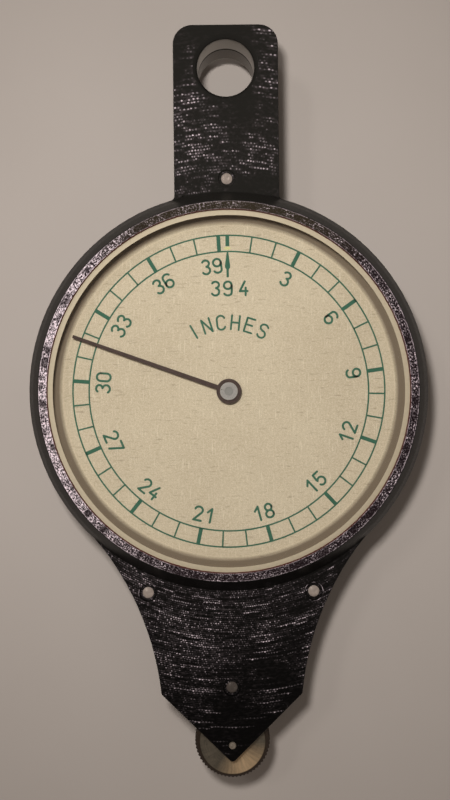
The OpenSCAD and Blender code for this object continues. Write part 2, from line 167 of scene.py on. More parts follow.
def mesh_object(name, bm, material, smooth_angle=30):
    """Makes an object from a bmesh and smooths its shallow edges."""
    bmesh.ops.recalc_face_normals(bm, faces=bm.faces)
    mesh = bpy.data.meshes.new(name)
    bm.to_mesh(mesh)
    bm.free()
    mesh.materials.append(material)
    obj = link(bpy.data.objects.new(name, mesh))
    smooth(obj, smooth_angle)
    return obj


def make_camera():
    """Looks straight down on the dial; a small shift frames the picture as the photograph is cropped."""
    data = bpy.data.cameras.new("camera")
    data.sensor_width = SENSOR
    data.lens = FOCAL_PX * SENSOR / PHOTO_H
    data.shift_x = (PHOTO_W / 2 - DIAL_PX) / PHOTO_H
    data.shift_y = (DIAL_PY - PHOTO_H / 2) / PHOTO_H
    data.clip_start = 5 * MM
    camera = link(bpy.data.objects.new("camera", data))
    camera.location = (CENTRE.x, CENTRE.y, MID_Z + TAB_TOP + CAMERA_HEIGHT)
    camera.rotation_euler = (0, 0, -ROLL)
    bpy.context.scene.camera = camera


make_camera()


class Nodes:
    """Builds shader nodes in few words; a value is a number, a tuple or another node's socket."""

    def __init__(self, tree):
        self.tree = tree

    def add(self, kind):
        return self.tree.nodes.new(kind)

    def put(self, socket, value):
        if isinstance(value, bpy.types.NodeSocket):
            self.tree.links.new(value, socket)
        elif value is not None:
            socket.default_value = value

    def math(self, operation, a, b=None, clamp=False):
        node = self.add("ShaderNodeMath")
        node.operation = operation
        node.use_clamp = clamp
        self.put(node.inputs[0], a)
        self.put(node.inputs[1], b)
        return node.outputs[0]

    def plus(self, a, b):
        return self.math("ADD", a, b)

    def minus(self, a, b):
        return self.math("SUBTRACT", a, b)

    def times(self, a, *others):
        for other in others:
            a = self.math("MULTIPLY", a, other)
        return a

    def over(self, a, b):
        return self.math("DIVIDE", a, b)

    def most(self, a, b):
        return self.math("MAXIMUM", a, b)

    def below(self, a, limit):
        """1 where the value is under the limit, else 0."""
        return self.math("LESS_THAN", a, limit)

    def apart(self, a, b):
        """How far two values lie apart."""
        return self.math("ABSOLUTE", self.minus(a, b))

    def vector(self, operation, a, b=None):
        node = self.add("ShaderNodeVectorMath")
        node.operation = operation
        self.put(node.inputs[0], a)
        self.put(node.inputs[1], b)
        return node.outputs["Value" if operation == "LENGTH" else "Vector"]

    def split(self, vector):
        node = self.add("ShaderNodeSeparateXYZ")
        self.put(node.inputs[0], vector)
        return node.outputs

    def join(self, x, y, z=0.0):
        node = self.add("ShaderNodeCombineXYZ")
        for socket, value in zip(node.inputs, (x, y, z)):
            self.put(socket, value)
        return node.outputs[0]

    def noise(self, vector, scale, detail=2.0, roughness=0.5):
        node = self.add("ShaderNodeTexNoise")
        self.put(node.inputs["Vector"], vector)
        self.put(node.inputs["Scale"], scale)
        self.put(node.inputs["Detail"], detail)
        self.put(node.inputs["Roughness"], roughness)
        return node.outputs[0]

    def cells(self, x, y, scatter):
        """Scattered points on a plane: how far the nearest one is, and a number of its own from 0 to 1."""
        node = self.add("ShaderNodeTexVoronoi")
        node.voronoi_dimensions = "2D"
        self.put(node.inputs["Vector"], self.join(x, y))
        self.put(node.inputs["Scale"], 1.0)
        self.put(node.inputs["Randomness"], scatter)
        return node.outputs["Distance"], self.split(node.outputs["Color"])[0]

    def spread(self, value, low, high, to_low=0.0, to_high=1.0):
        """Carries the range from low to high over to another one, and holds it at the ends."""
        node = self.add("ShaderNodeMapRange")
        for socket, part in zip(node.inputs, (value, low, high, to_low, to_high)):
            self.put(socket, part)
        return node.outputs[0]

    def mix(self, share, a, b):
        node = self.add("ShaderNodeMix")
        node.data_type = "RGBA"
        self.put(node.inputs["Factor"], share)
        for socket, value in ((node.inputs[6], a), (node.inputs[7], b)):
            self.put(socket, (*value, 1) if isinstance(value, tuple) else value)
        return node.outputs[2]

    def rays(self):
        return self.add("ShaderNodeLightPath").outputs


class Surface(Nodes):
    """The nodes of a new material, round one principled shader."""

    def __init__(self, name):
        self.material = bpy.data.materials.new(name)
        self.material.use_nodes = True
        super().__init__(self.material.node_tree)
        self.tree.nodes.clear()
        self.output = self.add("ShaderNodeOutputMaterial")
        self.shader = self.add("ShaderNodeBsdfPrincipled")
        self.tree.links.new(self.shader.outputs[0], self.output.inputs["Surface"])
        self.place = self.add("ShaderNodeTexCoord").outputs["Object"]
        self.facing = self.place.node.outputs["Normal"]

    def set(self, **values):
        """Sets the shader's sockets: base_color becomes Base Color."""
        for key, value in values.items():
            name = key.replace("_", " ").title().replace("Ior", "IOR")
            if name == "Base Color" and isinstance(value, tuple):
                value = (*value, 1)
            self.put(self.shader.inputs[name], value)

    def bump(self, height, distance, strength):
        node = self.add("ShaderNodeBump")
        self.put(node.inputs["Height"], height)
        self.put(node.inputs["Distance"], distance)
        self.put(node.inputs["Strength"], strength)
        self.put(self.shader.inputs["Normal"], node.outputs[0])

    def give_way(self, share, other):
        """Puts another shader in the principled one's place, by a share from 0 to 1."""
        node = self.add("ShaderNodeMixShader")
        self.put(node.inputs[0], share)
        self.put(node.inputs[1], self.shader.outputs[0])
        self.put(node.inputs[2], other.outputs[0])
        self.put(self.output.inputs["Surface"], node.outputs[0])

    def from_axis(self, axis):
        """Place from an upright axis: x, y and z in millimetres."""
        offset = self.vector("SUBTRACT", self.place, tuple(axis))
        return self.split(self.vector("DIVIDE", offset, (MM, MM, MM)))

    def around(self, axis):
        """Place round an upright axis: radius in millimetres, angle, and height in millimetres."""
        x, y, z = self.from_axis(axis)
        radius = self.math("SQRT", self.plus(self.times(x, x), self.times(y, y)))
        return radius, self.math("ARCTAN2", y, x), z


class CaseSurface(Surface):
    """The case's material, with the places on the case that its finish depends on."""

    def __init__(self, name):
        super().__init__(name)
        self.radius, self.angle, self.z = self.around(CENTRE)
        self.x, self.y = self.from_axis(CENTRE)[:2]
        self.level = self.math("ABSOLUTE", self.z)
        self.upright = self.math("ABSOLUTE", self.split(self.facing)[2])
        flat = self.spread(self.upright, 0.92, 0.98)
        top = RING_TOP / MM
        self.land = self.times(flat, self.spread(self.level, top - LAND_FROM, top - LAND_FULL))
        self.plate = self.minus(flat, self.land)
        self.on_tab = self.math("GREATER_THAN", self.y, 0.0)
        self.land_top = self.spread(self.y, *LAND_TOP_Y)
        self.grain = self.noise(self.place, 5200.0, 2.0, 0.6)
        self.coarse = self.noise(self.place, 900.0, 2.0)

    def pick(self, tail, tab):
        """One value on the tail and another on the tab."""
        return self.spread(self.on_tab, 0.0, 1.0, tail, tab)


def hand_wear(n):
    """Where the painted glints gather, partly as cloudy wear and partly as light falls: most at the tab's sides
    and foot, and more on the tail's left than at its point.
    """
    side = n.math("ABSOLUTE", n.x)
    foot = n.spread(n.apart(n.y, TAB_FOOT_Y), *FOOT_REACH, 0.10, -0.06)
    foot = n.minus(foot, n.spread(side, *FOOT_SIDE, 0.0, 0.07))
    edge = n.minus(n.spread(side, *TAB_SIDE, -0.06, 0.06), n.spread(n.y, *TAB_END_Y, 0.07, 0.0))
    corner = n.spread(n.minus(n.x, n.y), *TAB_CORNER, -0.16, 0.0)
    tab = n.plus(n.most(edge, foot), corner)
    tail = n.plus(n.spread(n.x, *TAIL_LEFT, 0.08, -0.03), n.spread(n.y, *TAIL_POINT_Y, -0.16, 0.0))
    cloud = n.noise(n.vector("ADD", n.place, (0.3, 0.1, 0.0)), 230.0, 3.0, 0.6)
    calm = n.pick(0.30, 0.12)
    return n.plus(n.spread(cloud, 0.0, 1.0, calm, n.minus(1.0, calm)), n.pick(tail, tab))


def worn_ridges(n, glint_spread):
    """Turned ridges, each a row of beads lit in dashes as painted glints, partly worn bare metal; gives the rows,
    the glints and the specks of faint painted sheen.
    """
    row = n.over(n.radius, n.pick(TAIL_RIDGE, TAB_RIDGE))
    along = n.times(n.angle, ARC_R)
    own_row = n.math("FLOOR", n.plus(row, ROW_SHIFT))
    dash = n.over(along, n.pick(TAIL_DASH, TAB_DASH))
    dashes = n.noise(n.join(n.times(own_row, ROW_APART), dash), 1.0, 2.0)
    dashes = n.spread(dashes, n.pick(0.37, 0.47), n.pick(0.66, 0.60))
    lit = n.times(n.spread(glint_spread, n.pick(0.42, 0.44), n.pick(0.69, 0.60)), dashes)
    beads = n.plus(n.over(along, n.pick(TAIL_BEAD, TAB_BEAD)), n.times(own_row, BEAD_STAGGER))
    off, own = n.cells(row, beads, BEAD_SCATTER)
    own = n.math("POWER", own, n.pick(3.0, 1.3))
    dot = n.spread(off, 0.08, 0.35, n.pick(1.55, 1.1), 0.0)

    # The crest between the beads has a faint painted shine, and on the tail a few crests have a painted shine for
    # a long way
    crest = n.spread(n.apart(n.math("FRACT", n.plus(row, ROW_SHIFT)), 0.5), 0.08, 0.34, 1.0, 0.0)
    bead = n.most(n.times(dot, own), n.times(crest, 0.04))
    long_dash = n.noise(n.join(n.times(own_row, LONG_ROW_APART), n.over(along, LONG_DASH), 9.0), 1.0, 2.0)
    long_dash = n.spread(long_dash, 0.60, 0.68, 0.0, n.pick(0.70, 0.0))
    dotted = n.times(n.most(dot, n.times(crest, 0.25)), n.plus(own, 0.3))
    long_dash = n.times(long_dash, n.spread(n.y, *LONG_DASH_Y, 0.22, 1.0), dotted)
    worn_glints = n.math("MULTIPLY", n.most(n.times(bead, lit), long_dash), n.plate, clamp=True)

    specks = n.noise(n.join(row, n.over(along, SPECK), 5.0), 1.0, 1.0)
    faint_sheen = n.times(n.spread(specks, 0.44, 0.70), n.spread(glint_spread, 0.36, 0.62, 0.06, 1.0))
    faint_sheen = n.times(faint_sheen, n.plus(n.times(dashes, 0.9), 0.25), n.plate, n.pick(0.6, 1.0))
    return row, worn_glints, faint_sheen


def rubbed_rims(n):
    """Bare metal with a painted glint at the mouths of the side rivets' counterbores, in places."""
    rims = 0.0
    for middle in SIDE_RIVETS:
        off = n.apart(n.around(middle)[0], RIM_R)
        rims = n.most(rims, n.spread(off, *RIM_HALF, 1.0, 0.0))
    return n.times(rims, n.spread(n.coarse, 0.50, 0.68), n.plate)


def blasted_land(n):
    """Painted glints of the blasted land, brightest on its left as light falls, with both its edges rubbed bare in
    places.
    """
    # Painted light: the land's glints are brightest on its left.
    left = n.spread(n.x, *LAND_LEFT, 1.0, 0.0)
    length = n.times(n.angle, LAND_MIDDLE / GRAIN_PITCH / GRAIN_STRETCH)
    blast = n.noise(n.join(n.over(n.radius, GRAIN_PITCH), length), 1.0, 3.0, 0.75)
    bare_from = n.spread(left, 0.0, 1.0, 0.52, 0.44)
    pit_glints = n.math("POWER", n.spread(blast, bare_from, n.plus(bare_from, 0.15)), 1.3)
    pit_glints = n.times(pit_glints, n.spread(n.coarse, 0.38, 0.60, 0.15, 1.5))
    rubbed = n.noise(n.join(n.times(n.angle, 3.0), 0.0), 1.0, 3.0)
    edges = n.spread(n.apart(n.radius, LAND_MIDDLE), *LAND_EDGE)
    edges = n.times(edges, n.spread(n.grain, 0.40, 0.55), n.spread(rubbed, 0.38, 0.52, 0.25, 1.0))
    pit_glints = n.times(n.most(pit_glints, edges), n.spread(left, 0.0, 1.0, 0.9, 1.4))
    # Fewer painted glints towards the land's top and bottom.
    ends = n.times(n.spread(n.land_top, 0.0, 1.0, 1.0, 0.5), n.spread(n.y, *LAND_LOW_Y, 0.7, 1.0))
    return n.math("MULTIPLY", n.times(pit_glints, ends), n.land, clamp=True)


def bored_hole(n):
    """The hang hole's bare wall and its colour: darker in its rear half as painted shade, and dark at the parting
    line.
    """
    bored = n.times(n.below(n.around(HANG_HOLE)[0], HANG_R + WALL_SPARE), n.below(n.upright, 0.4))
    # Painted shade: the rear half of the bored wall is darker than the front half.
    bare = n.mix(n.spread(n.z, *HOLE_REAR_TO_FRONT), (0.11, 0.10, 0.088), (0.34, 0.325, 0.30))
    bare = n.mix(n.spread(n.level, *PARTING_LINE, 1.0, 0.0), bare, (0.012, 0.011, 0.010))
    return bored, bare


def case_black():
    """Black lacquered aluminium, faced on a lathe, with a blasted land, painted glints and sheen, and dark reddish
    brown round the crystal's seat.
    """
    n = CaseSurface("case_black")
    row, worn_glints, faint_sheen = worn_ridges(n, hand_wear(n))
    worn_glints = n.most(worn_glints, rubbed_rims(n))
    bored, bare = bored_hole(n)
    seat = n.times(n.below(n.radius, SEAT_R + WALL_SPARE), n.below(n.upright, 0.9))
    # Painted sheen: the black is lighter towards the tab than towards the tail's point.
    base = n.mix(n.spread(n.y, *PAINTED_SHEEN_Y), (0.0022, 0.0019, 0.0018), (0.0145, 0.0132, 0.0112))
    # Painted sheen: faint specks along the ridges lighten the black.
    base = n.mix(faint_sheen, base, (0.052, 0.041, 0.041))
    base = n.mix(n.land, base, n.mix(n.land_top, (0.011, 0.0065, 0.0075), (0.024, 0.018, 0.011)))
    # Painted glints, partly worn bare metal: the ridge beads, the counterbore rims and the land's pits turn pale
    # pink.
    base = n.mix(n.plus(worn_glints, blasted_land(n)), base, (0.84, 0.69, 0.72))
    base = n.mix(seat, base, (0.075, 0.020, 0.014))
    base = n.mix(bored, base, bare)
    rough = n.spread(n.grain, 0.3, 0.7, 0.28, 0.40)
    n.set(base_color=base, metallic=bored, ior=1.5, specular_ior_level=0.07, roughness=rough)
    ridge = n.plus(n.times(n.math("SINE", n.times(row, 2 * math.pi)), 0.5), 0.5)
    height = n.plus(n.times(ridge, n.plate), n.times(worn_glints, 0.8))
    height = n.plus(height, n.times(n.grain, n.plus(n.times(n.land, 1.6), 0.12)))
    n.bump(height, 0.004 * MM, 0.8)
    return n.material


def cream_enamel():
    """Cream dial enamel: sandy, with dark hairs, flecks and scratches, a streaked brown band round its edge and a
    painted highlight line just inside that band.
    """
    n = Surface("dial_cream")
    radius, angle = n.around(CENTRE)[:2]
    cloud = n.noise(n.place, 90.0, 3.0, 0.5)
    sand = n.noise(n.place, 5600.0, 3.0, 0.7)
    base = n.mix(n.spread(cloud, 0.35, 0.65), (0.550, 0.462, 0.342), (0.600, 0.510, 0.382))
    base = n.mix(n.spread(sand, 0.50, 0.68, 0.0, 0.6), base, (0.74, 0.645, 0.505))
    base = n.mix(n.spread(sand, 0.32, 0.48, 0.6, 0.0), base, (0.46, 0.37, 0.265))

    for stretch, shown, share, tone in DIAL_MARKS:
        marks = n.noise(n.vector("MULTIPLY", n.place, stretch), 1.0, 2.0)
        base = n.mix(n.spread(marks, *shown, 0.0, share), base, tone)
    streaks = n.noise(n.join(n.over(radius, EDGE_BROWN_STREAK), n.times(angle, 5.0)), 1.0, 3.0)
    inner = n.spread(n.plus(radius, n.times(streaks, 0.2)), *EDGE_BROWN_IN)
    edge_brown = n.times(inner, n.spread(radius, *EDGE_BROWN_OUT, 1.0, 0.0))
    # Painted highlight: a pale line just inside the brown band.
    highlight_line = n.spread(n.apart(radius, HIGHLIGHT_LINE_R), 0.0, HIGHLIGHT_LINE_HALF, 0.35, 0.0)
    base = n.mix(highlight_line, base, (0.72, 0.62, 0.46))
    base = n.mix(n.times(edge_brown, 0.94), base, (0.155, 0.118, 0.085))
    n.set(base_color=base, roughness=n.spread(sand, 0.3, 0.7, 0.40, 0.55))
    n.bump(sand, 0.004 * MM, 0.5)
    return n.material


def crystal_edge():
    """Frosted edge of the crystal, its cream a painted reflection of the dial behind it."""
    n = Surface("crystal_edge")
    sand = n.noise(n.place, 2600.0, 3.0)
    n.set(base_color=n.mix(sand, (0.44, 0.365, 0.25), (0.54, 0.455, 0.32)), roughness=0.7)
    return n.material


def brown_cement():
    """Streaked brown on the crystal's inner wall, down to its foot."""
    n = Surface("crystal_cement")
    streaks = n.noise(n.vector("MULTIPLY", n.place, (900.0, 900.0, 3000.0)), 1.0, 3.0)
    n.set(base_color=n.mix(streaks, (0.33, 0.255, 0.19), (0.46, 0.36, 0.275)), roughness=0.6)
    return n.material


def green_ink():
    """Dark green print, a little uneven in density."""
    n = Surface("print_green")
    patch = n.noise(n.place, 1800.0, 3.0)
    n.set(base_color=n.mix(patch, (0.022, 0.095, 0.060), (0.050, 0.150, 0.100)),
          roughness=n.spread(patch, 0.3, 0.7, 0.4, 0.6))
    return n.material


def yellow_paint():
    """The small pale dot of paint under the zero line."""
    n = Surface("print_yellow")
    patch = n.noise(n.place, 2500.0, 2.0)
    n.set(base_color=n.mix(patch, (0.60, 0.57, 0.26), (0.68, 0.64, 0.34)), roughness=0.6)
    return n.material


def clear_acrylic():
    """Clear crystal with hairline scratches; shadow and diffuse rays pass straight through it."""
    n = Surface("crystal_clear")
    scratch = n.noise(n.vector("MULTIPLY", n.place, (5200.0, 420.0, 800.0)), 1.0, 2.0)
    n.set(base_color=(0.985, 0.98, 0.955), transmission_weight=1.0, ior=1.49,
          roughness=n.spread(scratch, 0.62, 0.8, 0.01, 0.10))
    clear = n.add("ShaderNodeBsdfTransparent")
    clear.inputs[0].default_value = (0.96, 0.955, 0.93, 1)
    rays = n.rays()
    n.give_way(n.most(rays["Is Shadow Ray"], rays["Is Diffuse Ray"]), clear)
    return n.material


def metal(name, dark, light, low=0.28, high=0.5, scale=900.0, bare=1.0):
    """Metal with a fine uneven polish; bare is below 1 where a film of tarnish dulls it."""
    n = Surface(name)
    cloud = n.noise(n.place, scale, 4.0, 0.6)
    fine = n.noise(n.place, scale * 6, 2.0)
    n.set(base_color=n.mix(cloud, dark, light), metallic=bare, roughness=n.spread(cloud, 0.3, 0.7, low, high))
    n.bump(fine, 0.006 * MM, 0.6)
    return n.material


def brown_lacquer():
    """Dark brown lacquered steel of the hands."""
    n = Surface("hand_brown")
    cloud = n.noise(n.place, 1500.0, 3.0)
    n.set(base_color=n.mix(cloud, (0.040, 0.026, 0.023), (0.085, 0.056, 0.050)),
          roughness=n.spread(cloud, 0.3, 0.7, 0.28, 0.42))
    return n.material


def worn_brass():
    """Dull nickelled brass of the tracing wheel: faced in rings, with a painted highlight of golden brass towards
    one side of its face, and darker on its knurled rim.
    """
    n = Surface("wheel_brass")
    radius, angle = n.around(AXLE)[:2]
    x, y = n.from_axis(AXLE)[:2]
    rays = n.noise(n.join(n.times(radius, 0.5), n.times(angle, 11.0)), 1.0, 3.0, 0.7)
    rings = n.noise(n.join(n.times(radius, 9.0), n.times(angle, 0.8)), 1.0, 3.0)
    cloud = n.noise(n.place, 600.0, 4.0, 0.6)
    fine = n.noise(n.place, 3600.0, 2.0)
    # Painted highlight: the face turns golden brass towards one angle, broken by radial streaks.
    bare = n.spread(n.math("COSINE", n.minus(angle, WHEEL_HIGHLIGHT_ANGLE)), 0.45, 1.0)
    bare = n.times(n.math("POWER", bare, 1.5), n.spread(rays, 0.3, 0.65, 0.55, 1.0))
    blend = n.plus(n.times(n.plus(cloud, rays), 0.3), n.plus(n.times(rings, 0.25), n.times(fine, 0.15)))
    face = n.mix(n.spread(blend, 0.30, 0.70), (0.050, 0.044, 0.035), (0.23, 0.188, 0.135))
    face = n.mix(bare, face, (0.72, 0.50, 0.29))
    edge = n.mix(cloud, (0.016, 0.010, 0.007), (0.060, 0.040, 0.026))
    rim = n.spread(radius, *WHEEL_RIM)
    turn = n.add("ShaderNodeVectorTransform")
    turn.vector_type = "VECTOR"
    turn.convert_from = "OBJECT"
    turn.convert_to = "WORLD"
    n.put(turn.inputs[0], n.join(x, y))
    n.put(n.shader.inputs["Tangent"], turn.outputs[0])
    n.set(base_color=n.mix(rim, face, edge), metallic=0.65, anisotropic=0.8,
          roughness=n.spread(cloud, 0.3, 0.7, 0.40, 0.52))
    n.bump(n.plus(rings, n.times(cloud, 0.4)), 0.006 * MM, 0.5)
    return n.material


BLACK = case_black()
CREAM = cream_enamel()
GREEN = green_ink()
YELLOW = yellow_paint()
CLEAR = clear_acrylic()
FROSTED_DIAL_REFLECTION = crystal_edge()
BROWN_WALL = brown_cement()
BRASS = metal("gear_brass", (0.60, 0.44, 0.20), (0.78, 0.60, 0.30))
STEEL = metal("arbor_steel", (0.38, 0.37, 0.36), (0.56, 0.55, 0.54), bare=0.65)
RIVET = metal("rivet_steel", (0.30, 0.240, 0.200), (0.54, 0.445, 0.380), 0.30, 0.42, 2200.0, bare=0.45)
# The second stud's darker copy of the rivet metal is painted shade.
SHADED_RIVET = metal("rivet_dark", (0.070, 0.057, 0.048), (0.115, 0.092, 0.078), 0.34, 0.42, 1500.0, bare=0.5)
PIVOT = metal("pivot_steel", (0.16, 0.132, 0.100), (0.29, 0.240, 0.185), 0.28, 0.40, 1800.0, bare=0.5)
SILVER = metal("hub_silver", (0.50, 0.475, 0.465), (0.64, 0.61, 0.60), 0.26, 0.36, 2600.0, bare=0.55)
BROWN = brown_lacquer()
WHEEL = worn_brass()

NODE_MATERIAL = {
    "front_case": BLACK, "rear_case": BLACK, "front_dial": CREAM, "rear_dial": CREAM,
    "front_crystal": CLEAR, "rear_crystal": CLEAR, "front_bush": BRASS, "rear_bush": BRASS,
    "idler_stud": STEEL, "second_stud": SHADED_RIVET, "top_rivet": RIVET, "side_rivets": RIVET,
    "centre_arbor": STEEL, "centre_collet": BRASS, "centre_wheel": BRASS, "front_hand": BROWN,
    "rear_hand": BROWN, "front_hand_hub": SILVER, "rear_hand_hub": SILVER, "idler_wheel": BRASS,
    "idler_hub": BRASS, "second_wheel": BRASS, "second_pinion": STEEL, "tracing_wheel": WHEEL,
    "tracing_arbor": PIVOT,
}
# Width of the broken edge on each CAD node, in metres
EDGE_BREAK = {
    "front_case": 0.12 * MM, "rear_case": 0.12 * MM, "front_hand": 0.04 * MM, "rear_hand": 0.04 * MM,
    "front_hand_hub": 0.07 * MM, "rear_hand_hub": 0.07 * MM,
    "tracing_arbor": 0.05 * MM, "tracing_wheel": 0.03 * MM,
}


def break_edges(node, width):
    """Joins the faces of a CAD mesh, makes its flats single faces and bevels the edges between them."""
    weld = node.modifiers.new("weld", "WELD")
    weld.merge_threshold = 0.0001 * MM
    flats = node.modifiers.new("flats", "DECIMATE")
    flats.decimate_type = "DISSOLVE"
    flats.angle_limit = math.radians(0.5)
    bevel = node.modifiers.new("edge", "BEVEL")
    bevel.width = width
    bevel.segments = 2
    bevel.limit_method = "ANGLE"
    bevel.angle_limit = math.radians(35)
    bevel.use_clamp_overlap = False
    node.modifiers.new("shading", "WEIGHTED_NORMAL")


def dress_nodes():
    """Gives each CAD node its material and smooth shading, and the ones listed in EDGE_BREAK a small broken edge.
    """
    for name, node in frame["nodes"].items():
        node.data.materials.clear()
        node.data.materials.append(NODE_MATERIAL[name])
        smooth(node)
        if name in EDGE_BREAK:
            break_edges(node, EDGE_BREAK[name])


dress_nodes()

# Print on the dials, in millimetres from the dial's centre
INK_T = 0.012
INK_STEP = 0.0015
INK_LAYERS = 7
BAND_OUT = 19.46
BAND_IN = 17.44
LINE_W = 0.19
TICK_W = 0.20
MARK_W = 0.48
ZERO_MARK_IN = 18.1
NUMERAL_R = 15.7
NUMERAL_H = 1.72
NUMERAL_STROKE = 0.27
NUMERAL_PITCH = 1.44
LOWER_ROW_Y = 12.82
WORD_R = 8.6
WORD_H = 1.75
WORD_STROKE = 0.24
DOT_Y = 17.84
DOT_HALF_W = 0.42
DOT_HALF_H = 0.2
# Numerals of the inch dial off the even circle: the 39 by its angle, the row under the arrow by x
LAST_NUMERAL = -7.3
LOWER_ROW = (("3", -1.55), ("9", 0.0), ("4", 1.98))
# A character's width, as a share of its height
GLYPH_W = 0.56
# A stroke's outline stands out at a corner by this factor at most, and its round end has this many sides
MITRE_LIMIT = 1.6
CAP_SIDES = 6
INK_SHARP = 20


def lathe(bm, profile, steps, place=(0.0, 0.0, 0.0)):
    """Adds a closed profile of (radius, height) points, turned about an upright axis through a place."""
    cx, cy, cz = place
    rows = []
    for i in range(steps):
        a = 2 * math.pi * i / steps
        rows.append([None if r == 0 else bm.verts.new((cx + r * math.cos(a), cy + r * math.sin(a), cz + z))
                     for r, z in profile])
    poles = {k: bm.verts.new((cx, cy, cz + z)) for k, (r, z) in enumerate(profile) if r == 0}
    count = len(profile)
    for i in range(steps):
        here, there = rows[i], rows[(i + 1) % steps]
        for c in range(count):
            d = (c + 1) % count
            corners = [here[c] or poles[c], there[c] or poles[c], there[d] or poles[d], here[d] or poles[d]]
            face = [v for k, v in enumerate(corners) if v not in corners[:k]]
            if len(face) > 2:
                bm.faces.new(face)


def arc(cx, cy, rx, ry, start, end, steps=14):
    """Points along part of an ellipse, with angles in degrees."""
    turn = [math.radians(start + (end - start) * i / steps) for i in range(steps + 1)]
    return [(cx + rx * math.cos(a), cy + ry * math.sin(a)) for a in turn]


def glyph_strokes():
    """Centre lines of plain engraved characters, one unit high and GLYPH_W wide."""
    w = GLYPH_W
    m = w / 2
    six = arc(m, 0.78, m, 0.22, 25, 180) + [(0, 0.6), (0, 0.4)] + arc(m, 0.27, m, 0.27, 180, 540, 28)
    return {
        "0": [arc(m, 0.72, m, 0.28, 0, 180) + arc(m, 0.28, m, 0.28, 180, 360) + [(w, 0.72)]],
        "1": [[(0.10, 0.70), (0.38, 1.0)], [(0.38, 1.0), (0.38, 0.0)]],
        "2": [arc(m, 0.74, m, 0.26, 165, -30) + [(0.0, 0.0)], [(0.0, 0.0), (w, 0.0)]],
        "3": [arc(m, 0.77, m * 0.92, 0.23, 150, -80), arc(m * 0.98, 0.27, m, 0.27, 80, -150)],
        "4": [[(0.36, 1.0), (0.0, 0.30)], [(0.0, 0.30), (w, 0.30)], [(0.42, 0.55), (0.42, 0.0)]],
        "5": [[(0.50, 1.0), (0.07, 1.0)], [(0.07, 1.0), (0.03, 0.56)], arc(m, 0.30, m, 0.30, 145, -150, 20)],
        "6": [six],
        "7": [[(0.0, 1.0), (w, 1.0)], [(w, 1.0), (0.18, 0.0)]],
        "8": [arc(m, 0.76, m * 0.85, 0.24, 0, 360, 26), arc(m, 0.26, m, 0.26, 0, 360, 28)],
        "9": [[(w - x, 1 - y) for x, y in six]],
        "I": [[(m, 0.0), (m, 1.0)]],
        "N": [[(0, 0), (0, 1)], [(0, 1), (w, 0)], [(w, 0), (w, 1)]],
        "C": [arc(m, 0.72, m, 0.28, 20, 180) + arc(m, 0.28, m, 0.28, 180, 340)],
        "H": [[(0, 0), (0, 1)], [(w, 0), (w, 1)], [(0, 0.5), (w, 0.5)]],
        "E": [[(0, 0), (0, 1)], [(0, 0), (w, 0)], [(0, 1), (w, 1)], [(0, 0.52), (w * 0.85, 0.52)]],
        "S": [arc(m, 0.76, m, 0.24, 30, 250) + arc(m, 0.26, m, 0.26, 70, -150)],
        "M": [[(0, 0), (0, 1)], [(0, 1), (0.34, 0.35)], [(0.34, 0.35), (0.68, 1)], [(0.68, 1), (0.68, 0)]],
    }


GLYPHS = glyph_strokes()


def to_dial_axis(obj, rear, up=0.0, scale=1.0):
    """Moves a mesh made about the origin to the dial's axis; a rear one is turned over."""
    matrix = Matrix.Translation((CENTRE.x, CENTRE.y, MID_Z))
    if rear:
        matrix = matrix @ Matrix.Rotation(math.pi, 4, "Y")
    obj.data.transform(matrix @ Matrix.Translation((0, 0, up)) @ Matrix.Scale(scale, 4))


